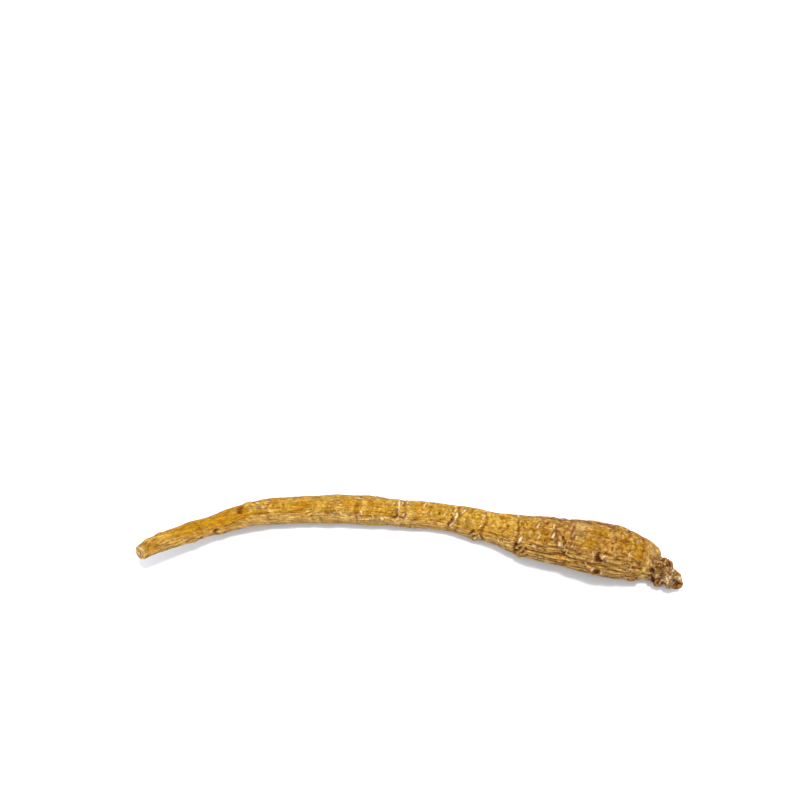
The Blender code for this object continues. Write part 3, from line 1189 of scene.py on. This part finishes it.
class Board:
    """A material's node tree, with short ways to add the nodes that this scene uses."""

    DETAIL_SHARE = 0.6

    def __init__(self, name: str) -> None:
        """Makes the material with its Principled shader.

        Args:
            name: The material's name.
        """
        self.material = bpy.data.materials.new(name)
        self.material.use_nodes = True
        self.tree = self.material.node_tree
        self.shader = self.tree.nodes["Principled BSDF"]

    def node(self, kind: str, **settings: object) -> bpy.types.Node:
        """Adds a node and sets its properties.

        Args:
            kind: Its Blender type.
            **settings: The value of each property that differs from the usual.

        Returns:
            The node.
        """
        made = self.tree.nodes.new(kind)
        for name, value in settings.items():
            setattr(made, name, value)
        return made

    def feed(self, socket: Socket, value: object) -> None:
        """Links an output to an input, or sets the input to a plain value.

        Args:
            socket: The input.
            value: The output, number or colour that it gets.
        """
        if isinstance(value, Socket):
            self.tree.links.new(value, socket)
        elif isinstance(value, tuple) and len(value) == 3 and socket.type == "RGBA":
            socket.default_value = (*value, 1.0)
        else:
            socket.default_value = value

    def mask(self, name: str) -> Socket:
        """Reads one of the mesh's masks."""
        return self.node("ShaderNodeAttribute", attribute_name=name).outputs["Fac"]

    def stretched(self, place: Socket, stretch: tuple, offset: float = 0.0) -> Socket:
        """Scales and shifts coordinates.

        Args:
            place: The coordinates, in millimetres.
            stretch: The scale along each of them.
            offset: The shift along all three.

        Returns:
            The new coordinates.
        """
        mapping = self.node("ShaderNodeMapping")
        self.feed(mapping.inputs["Vector"], place)
        mapping.inputs["Scale"].default_value = stretch
        mapping.inputs["Location"].default_value = (offset,) * 3
        return mapping.outputs["Vector"]

    def noise(self, place: Socket, stretch: tuple, detail: float, offset: float = 0.0) -> Socket:
        """Adds noise on stretched coordinates.

        Args:
            place: The coordinates, in millimetres.
            stretch: Waves per millimetre along each of them.
            detail: How many finer layers it has.
            offset: A shift that makes this noise differ from the others.

        Returns:
            The noise, from 0 to 1.
        """
        noise = self.node("ShaderNodeTexNoise")
        self.feed(noise.inputs["Vector"], self.stretched(place, stretch, offset))
        noise.inputs["Scale"].default_value = 1.0
        noise.inputs["Detail"].default_value = detail
        noise.inputs["Roughness"].default_value = self.DETAIL_SHARE
        return noise.outputs["Fac"]

    def edges(self, place: Socket, stretch: tuple) -> Socket:
        """Measures how far a place is from the nearest edge between scattered cells.

        Args:
            place: The coordinates, in millimetres.
            stretch: Cells per millimetre along each of them.

        Returns:
            The distance, in cells.
        """
        cells = self.node("ShaderNodeTexVoronoi", feature="DISTANCE_TO_EDGE")
        self.feed(cells.inputs["Vector"], self.stretched(place, stretch))
        cells.inputs["Scale"].default_value = 1.0
        return cells.outputs["Distance"]

    def ramp(self, value: Socket, low: float, high: float, to: tuple = (0.0, 1.0)) -> Socket:
        """Stretches a range of values, eased and held at its ends, to another range.

        Args:
            value: The value.
            low: Where the range starts.
            high: Where it ends, which may be below its start.
            to: What the start and the end become.

        Returns:
            The new value.
        """
        made = self.node("ShaderNodeMapRange", interpolation_type="SMOOTHSTEP")
        self.feed(made.inputs["Value"], value)
        for name, number in zip(("From Min", "From Max", "To Min", "To Max"), (low, high, *to)):
            made.inputs[name].default_value = number
        return made.outputs["Result"]

    def math(self, operation: str, first: object, second: object) -> Socket:
        """Works out one sum of two values.

        Args:
            operation: Blender's name for the sum.
            first: The first value.
            second: The second value.

        Returns:
            The result.
        """
        made = self.node("ShaderNodeMath", operation=operation)
        self.feed(made.inputs[0], first)
        self.feed(made.inputs[1], second)
        return made.outputs[0]

    def times(self, first: object, second: object) -> Socket:
        """One value times another."""
        return self.math("MULTIPLY", first, second)

    def plus(self, first: object, second: object) -> Socket:
        """One value and another."""
        return self.math("ADD", first, second)

    def less(self, first: object, second: object) -> Socket:
        """One value less another."""
        return self.math("SUBTRACT", first, second)

    def mix(self, share: object, first: object, second: object) -> Socket:
        """Mixes two colours.

        Args:
            share: The second colour's share.
            first: The first colour.
            second: The second colour.

        Returns:
            The mixed colour.
        """
        made = self.node("ShaderNodeMix", data_type="RGBA")
        self.feed(made.inputs[0], share)
        self.feed(made.inputs[6], first)
        self.feed(made.inputs[7], second)
        return made.outputs[2]

    def stain(self, skin: Socket, colour: Colour, value: Socket, reach: tuple, where: object = 1.0) -> Socket:
        """Lays a colour over another one where a value is in a range.

        Args:
            skin: The colour so far.
            colour: The colour that is laid over it.
            value: A noise, or another value.
            reach: The value where the colour starts, the value where it is fullest, and its share there.
            where: The share of a place that can take it.

        Returns:
            The new colour.
        """
        start, full, most = reach
        share = self.ramp(value, start, full, (0.0, most))
        return self.mix(self.times(where, share), skin, colour)

    def scaled(self, colour: Socket, factor: Socket) -> Socket:
        """Makes a colour lighter or darker.

        Args:
            colour: The colour.
            factor: What each part of it is multiplied by.

        Returns:
            The new colour.
        """
        made = self.node("ShaderNodeVectorMath", operation="SCALE")
        self.feed(made.inputs[0], colour)
        self.feed(made.inputs["Scale"], factor)
        return made.outputs[0]

    def bump(self, height: object, strength: float, distance: float, normal: object = None) -> Socket:
        """Turns a height into a normal.

        Args:
            height: The height, from 0 to 1.
            strength: How much of it counts.
            distance: How high 1 is, in metres.
            normal: The normal of the bumps beneath this one.

        Returns:
            The normal.
        """
        made = self.node("ShaderNodeBump")
        made.inputs["Strength"].default_value = strength
        made.inputs["Distance"].default_value = distance
        self.feed(made.inputs["Height"], height)
        if normal is not None:
            self.feed(made.inputs["Normal"], normal)
        return made.outputs["Normal"]


@dataclass(frozen=True)
class DriedSkin:
    """The root's dry skin: tan and golden, amber where it is glassy, buff where it is dry."""

    tan: Colour = linear(172, 133, 44)
    gold: Colour = linear(174, 129, 8)
    amber: Colour = linear(174, 123, 0)
    ochre: Colour = linear(156, 92, 4)
    brown: Colour = linear(142, 88, 30)
    buff: Colour = linear(200, 164, 96)
    fibre: Colour = linear(132, 75, 10)
    # The next three colours: a pale fibre colour that also paints the highlight on crests; a brown for specks
    # that also paints the shade in hollows and fine wrinkles; and a dark brown for dark marks and pores that
    # also paints the shade in grooves and creases.
    fibre_and_highlight: Colour = linear(218, 176, 92)
    fold_shade_and_speck: Colour = linear(112, 55, 8)
    cleft: Colour = linear(80, 28, 6)
    scar: Colour = linear(226, 206, 164)
    bark: Colour = linear(112, 64, 18)
    bark_light: Colour = linear(194, 142, 62)
    wood: Colour = linear(160, 118, 60)
    pith: Colour = linear(104, 58, 42)
    roughness: float = 0.62
    specular: float = 0.08

    def colour(self, board: Board, place: Socket, lines: Socket) -> Socket:
        """Lays the colours over each other, from the broad tones to the scars.

        Args:
            board: The material's nodes.
            place: The straightened coordinates.
            lines: The distance to the nearest fine wrinkle, in cells.

        Returns:
            The skin's colour.
        """
        tone = board.ramp(board.noise(place, (0.09, 0.35, 0.35), 3.0), 0.38, 0.62)
        skin = board.mix(tone, self.tan, self.gold)
        mottle = board.noise(place, (0.7, 0.9, 0.9), 4.0, 11.0)
        worn = board.mask("weathered")
        uneven = board.ramp(board.noise(place, (0.35, 0.5, 0.5), 3.0, 19.0), 0.36, 0.62, (0.45, 0.95))
        skin = board.mix(board.times(worn, uneven), skin, self.brown)
        glassy = board.times(board.mask("amber"), board.ramp(mottle, 0.30, 0.55, (0.6, 1.0)))
        skin = board.mix(glassy, skin, self.amber)
        skin = board.stain(skin, self.buff, mottle, (0.55, 0.70, 0.60))
        skin = board.stain(skin, self.ochre, mottle, (0.46, 0.32, 0.70))
        skin = board.mix(board.times(board.mask("buff"), 0.75), skin, self.buff)
        spots = board.noise(place, (1.5, 1.8, 1.8), 3.0, 17.0)
        skin = board.stain(skin, self.fibre, spots, (0.44, 0.30, 0.60))
        long = board.mask("wrinkled")
        streak = board.noise(place, (0.30, 3.0, 3.0), 4.0, 23.0)
        skin = board.stain(skin, self.fibre, streak, (0.53, 0.68, 0.70), long)
        skin = board.stain(skin, self.fibre_and_highlight, streak, (0.46, 0.32, 0.65), long)
        skin = board.mix(board.times(glassy, 0.88), skin, self.amber)
        # Painted highlight on the crests and painted shade in the hollows, both read from the relief.
        plain = board.less(0.55, board.times(glassy, 0.50))
        skin = board.mix(board.times(board.mask("crest_highlight"), plain), skin, self.fibre_and_highlight)
        skin = board.mix(board.times(board.mask("hollow_shade"), 0.68), skin, self.fold_shade_and_speck)
        # Painted shade along the fine wrinkles.
        skin = board.stain(skin, self.fold_shade_and_speck, lines, (0.14, 0.02, 0.45), long)
        specks = board.noise(place, (1.9, 2.2, 2.2), 1.0, 43.0)
        skin = board.stain(skin, self.fold_shade_and_speck, specks, (0.68, 0.76, 0.70))
        granules = board.noise(place, (1.1, 2.3, 2.3), 2.0, 29.0)
        dull = board.less(1.0, board.times(glassy, 0.8))
        grainy = board.times(board.plus(board.times(worn, 0.55), 0.42), dull)
        skin = board.stain(skin, self.fibre_and_highlight, granules, (0.54, 0.68, 0.60), grainy)
        skin = board.stain(skin, self.fibre, granules, (0.46, 0.34, 0.60), grainy)
        skin = self.barked(board, place, skin)
        # The dark mask: dark marks and pits, with painted shade in the grooves, creases, wrinkles, seam, scar
        # rims and the crown's clefts and pits.
        fine = board.ramp(board.noise(place, (1.6, 3.0, 3.0), 3.0, 51.0), 0.35, 0.65, (0.55, 1.0))
        skin = board.mix(board.times(board.mask("dark"), fine), skin, self.cleft)
        # The pale mask: scars, with a painted highlight on the crown's ridges.
        broken = board.ramp(board.noise(place, (2.6, 2.6, 2.6), 3.0, 57.0), 0.34, 0.54, (0.45, 1.0))
        skin = board.mix(board.times(board.mask("pale"), broken), skin, self.scar)
        speckle = board.ramp(board.noise(place, (3.0, 3.6, 3.6), 2.0, 59.0), 0.30, 0.70, (0.78, 1.22))
        skin = board.scaled(skin, speckle)
        patchy = board.ramp(board.noise(place, (0.55, 1.2, 1.2), 4.0, 67.0), 0.36, 0.64, (0.75, 1.17))
        skin = board.scaled(skin, patchy)
        # Darkens weathered skin, which is its own colour, and paints shade on the underside.
        wear_and_underside_shade = board.times(worn, board.ramp(uneven, 0.45, 0.95, (0.08, 0.22)))
        wear_and_underside_shade = board.plus(wear_and_underside_shade, board.times(board.mask("under"), 0.22))
        skin = board.scaled(skin, board.less(1.0, wear_and_underside_shade))
        return board.mix(board.mask("cut"), skin, self.cut_face(board, place))

    def barked(self, board: Board, place: Socket, skin: Socket) -> Socket:
        """Lays the crown's bark over the skin, with dark pores and buff dots.

        Args:
            board: The material's nodes.
            place: The straightened coordinates.
            skin: The colour so far.

        Returns:
            The new colour.
        """
        crown = board.mask("crown")
        tone = board.ramp(board.noise(place, (1.4, 1.4, 1.4), 4.0, 37.0), 0.42, 0.66)
        bark = board.mix(tone, self.bark, self.bark_light)
        skin = board.mix(board.times(crown, 0.85), skin, bark)
        pores = board.noise(place, (1.6, 1.6, 1.6), 2.0, 33.0)
        skin = board.stain(skin, self.cleft, pores, (0.44, 0.37, 0.85), crown)
        return board.stain(skin, self.buff, pores, (0.54, 0.64, 0.70), crown)

    def cut_face(self, board: Board, place: Socket) -> Socket:
        """Colours the cut face: a buff rim, then wood, and darker pith in the middle.

        Args:
            board: The material's nodes.
            place: The straightened coordinates.

        Returns:
            The face's colour.
        """
        grain = board.noise(place, (1.2, 1.2, 1.2), 3.0, 61.0)
        out = board.plus(board.mask("share"), board.ramp(grain, 0.3, 0.7, (-0.22, 0.22)))
        face = board.mix(board.ramp(out, 1.15, 0.65), self.buff, self.wood)
        face = board.stain(face, self.scar, grain, (0.5, 0.6, 0.35))
        return board.mix(board.ramp(out, 0.38, 0.16), face, self.pith)

    def material(self) -> bpy.types.Material:
        """Builds the material: the colour, a roughness that follows it, and three fine bumps.

        Returns:
            The material.
        """
        board = Board("dried_skin")
        place = board.node("ShaderNodeAttribute", attribute_name="straight").outputs["Vector"]
        lines = board.edges(place, (0.25, 1.9, 1.9))
        board.feed(board.shader.inputs["Base Color"], self.colour(board, place, lines))
        uneven = board.noise(place, (0.6, 1.6, 1.6), 3.0, 71.0)
        rough = board.ramp(uneven, 0.3, 0.7, (self.roughness - 0.10, self.roughness + 0.16))
        rough = board.less(rough, board.times(board.mask("amber"), 0.12))
        rough = board.plus(rough, board.times(board.mask("dark"), 0.25))
        board.feed(board.shader.inputs["Roughness"], rough)
        board.shader.inputs["Specular IOR Level"].default_value = self.specular
        fibres = board.noise(place, (0.5, 4.5, 4.5), 4.0, 83.0)
        normal = board.bump(fibres, 0.8, 0.14 * MM)
        dust = board.noise(place, (5.0, 6.0, 6.0), 3.0, 97.0)
        normal = board.bump(dust, 0.6, 0.08 * MM, normal)
        ridges = board.times(board.ramp(lines, 0.0, 0.25), board.mask("wrinkled"))
        normal = board.bump(ridges, 0.7, 0.12 * MM, normal)
        board.feed(board.shader.inputs["Normal"], normal)
        return board.material


@dataclass(frozen=True)
class Surface:
    """The plain pale surface that the root lies on."""

    half_side: float = 3.0
    drop: float = 0.00003
    colour: Colour = (0.84, 0.86, 0.89)
    darker: float = 0.985
    roughness: float = 0.9
    specular: float = 0.1

    def build(self) -> bpy.types.Object:
        """Makes one large square just below the root.

        Returns:
            The surface.
        """
        side = self.half_side
        corners = [(-side, -side), (side, -side), (side, side), (-side, side)]
        mesh = bpy.data.meshes.new("surface")
        mesh.from_pydata([(x, y, -self.drop) for x, y in corners], [], [(0, 1, 2, 3)])
        surface = bpy.data.objects.new("surface", mesh)
        bpy.context.scene.collection.objects.link(surface)
        board = Board("white_paper")
        coordinates = board.node("ShaderNodeTexCoord").outputs["Object"]
        tone = board.noise(coordinates, (2.0, 2.0, 2.0), 2.0)
        darker = tuple(self.darker * part for part in self.colour)
        board.feed(board.shader.inputs["Base Color"], board.mix(tone, self.colour, darker))
        board.shader.inputs["Roughness"].default_value = self.roughness
        board.shader.inputs["Specular IOR Level"].default_value = self.specular
        mesh.materials.append(board.material)
        log.info("%s: plain and pale", surface.name)
        return surface


@dataclass(frozen=True)
class StudioLight:
    """One wide, soft light from almost overhead, in a bright white room."""

    lean_back: float = 1.0
    lean_right: float = 6.0
    spread: float = 10.0
    strength: float = 2.2
    room: Colour = (0.94, 0.96, 1.0)
    room_strength: float = 1.2

    def build(self) -> bpy.types.Object:
        """Turns the light to the root and sets the room's brightness.

        Returns:
            The light.
        """
        back, right = math.tan(math.radians(self.lean_back)), math.tan(math.radians(self.lean_right))
        direction = Vector((right, back, 1.0))
        light = bpy.data.objects.new("overhead", bpy.data.lights.new("overhead", "SUN"))
        light.data.angle = math.radians(self.spread)
        light.data.energy = self.strength
        light.location = direction
        light.rotation_euler = direction.to_track_quat("Z", "Y").to_euler()
        bpy.context.scene.collection.objects.link(light)
        world = bpy.data.worlds.new("room")
        world.use_nodes = True
        background = world.node_tree.nodes["Background"]
        background.inputs["Color"].default_value = (*self.room, 1.0)
        background.inputs["Strength"].default_value = self.room_strength
        bpy.context.scene.world = world
        log.info("%s: %.0f degrees wide", light.name, self.spread)
        return light


@dataclass(frozen=True)
class Viewpoint:
    """The photograph's view: from the front, 60 degrees up, with the root low in the frame."""

    pitch: float = 60.0
    distance: float = 0.330
    lens: float = 60.0
    nearest: float = 0.01
    target: tuple[float, float, float] = (-0.0021, 0.0394, 0.0)

    def build(self) -> bpy.types.Object:
        """Places the camera on its line through the target and makes it the scene's.

        Returns:
            The camera.
        """
        pitch = math.radians(self.pitch)
        back = Vector((0.0, -math.cos(pitch), math.sin(pitch)))
        camera = bpy.data.objects.new("camera", bpy.data.cameras.new("camera"))
        camera.data.lens = self.lens
        camera.data.clip_start = self.nearest
        turn = back.to_track_quat("Z", "Y").to_matrix().to_4x4()
        camera.matrix_world = Matrix.Translation(Vector(self.target) + back * self.distance) @ turn
        bpy.context.scene.collection.objects.link(camera)
        bpy.context.scene.camera = camera
        log.info("%s: %.0f degrees up", camera.name, self.pitch)
        return camera


def main() -> None:
    """Builds the view, the light, the surface and the root, in that order."""
    logging.basicConfig(level=logging.INFO, format="%(message)s")
    bpy.context.scene.view_settings.view_transform = "Standard"
    Viewpoint().build()
    StudioLight().build()
    Surface().build()
    GinsengRoot().build()


if __name__ == "__main__":
    main()
